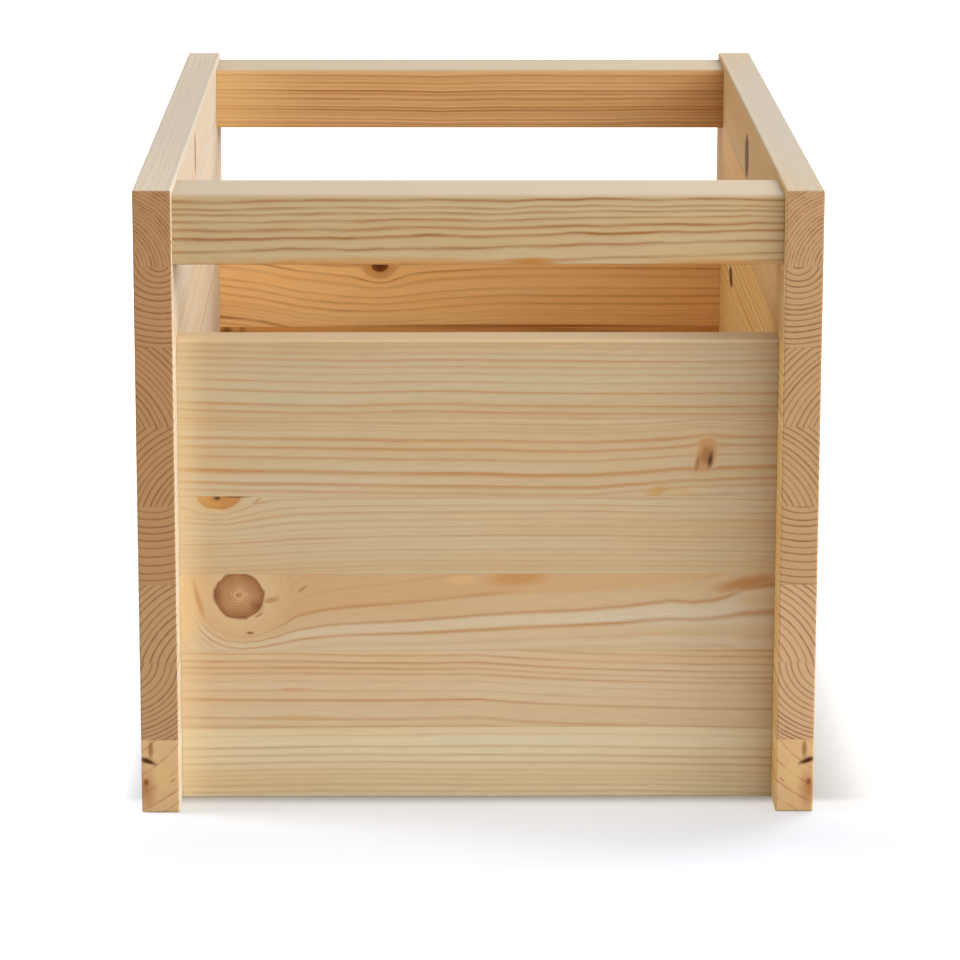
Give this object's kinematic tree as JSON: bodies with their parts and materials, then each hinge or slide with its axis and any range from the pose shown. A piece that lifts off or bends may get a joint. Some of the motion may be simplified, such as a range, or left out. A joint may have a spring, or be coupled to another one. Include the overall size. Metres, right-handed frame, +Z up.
{
  "type": "kindling box",
  "caption": "Open-topped box of edge-glued pine boards for kindling and small logs, with a grab rail across each end over an open hand gap.",
  "frame": {"origin": "on the floor under the middle of the box", "axes": "+Z up, +Y from the front of the box to its back, +X to the right seen from the front"},
  "size_m": [0.32, 0.48, 0.3],
  "materials": {
    "side_boards": "planed and sanded pine, unfinished",
    "end_panels": "planed and sanded pine, unfinished",
    "grab_rails": "planed and sanded pine, unfinished",
    "bottom_board": "planed and sanded pine, unfinished",
    "dowels": "fluted beech, unfinished"
  },
  "bodies": {
    "root": {"left_side_stave_1": "side_boards", "left_side_stave_2": "side_boards", "left_side_stave_3": "side_boards", "left_side_stave_4": "side_boards", "left_side_stave_5": "side_boards", "left_side_stave_6": "side_boards", "left_side_stave_7": "side_boards", "left_side_stave_8": "side_boards", "right_side_stave_1": "side_boards", "right_side_stave_2": "side_boards", "right_side_stave_3": "side_boards", "right_side_stave_4": "side_boards", "right_side_stave_5": "side_boards", "right_side_stave_6": "side_boards", "right_side_stave_7": "side_boards", "right_side_stave_8": "side_boards", "front_panel_stave_1": "end_panels", "front_panel_stave_2": "end_panels", "front_panel_stave_3": "end_panels", "front_panel_stave_4": "end_panels", "front_panel_stave_5": "end_panels", "front_panel_stave_6": "end_panels", "back_panel_stave_1": "end_panels", "back_panel_stave_2": "end_panels", "back_panel_stave_3": "end_panels", "back_panel_stave_4": "end_panels", "back_panel_stave_5": "end_panels", "back_panel_stave_6": "end_panels", "front_top_rail": "grab_rails", "rear_top_rail": "grab_rails", "bottom_board_stave_1": "bottom_board", "bottom_board_stave_2": "bottom_board", "bottom_board_stave_3": "bottom_board", "bottom_board_stave_4": "bottom_board", "bottom_board_stave_5": "bottom_board", "bottom_board_stave_6": "bottom_board", "bottom_board_stave_7": "bottom_board", "bottom_board_stave_8": "bottom_board", "front_rail_dowel_left_1": "dowels", "front_rail_dowel_left_2": "dowels", "front_rail_dowel_right_1": "dowels", "front_rail_dowel_right_2": "dowels", "rear_rail_dowel_left_1": "dowels", "rear_rail_dowel_left_2": "dowels", "rear_rail_dowel_right_1": "dowels", "rear_rail_dowel_right_2": "dowels", "front_panel_dowel_left_1": "dowels", "front_panel_dowel_left_2": "dowels", "front_panel_dowel_right_1": "dowels", "front_panel_dowel_right_2": "dowels", "back_panel_dowel_left_1": "dowels", "back_panel_dowel_left_2": "dowels", "back_panel_dowel_right_1": "dowels", "back_panel_dowel_right_2": "dowels", "bottom_dowel_left_1": "dowels", "bottom_dowel_left_2": "dowels", "bottom_dowel_left_3": "dowels", "bottom_dowel_right_1": "dowels", "bottom_dowel_right_2": "dowels", "bottom_dowel_right_3": "dowels"}
  },
  "joints": []
}
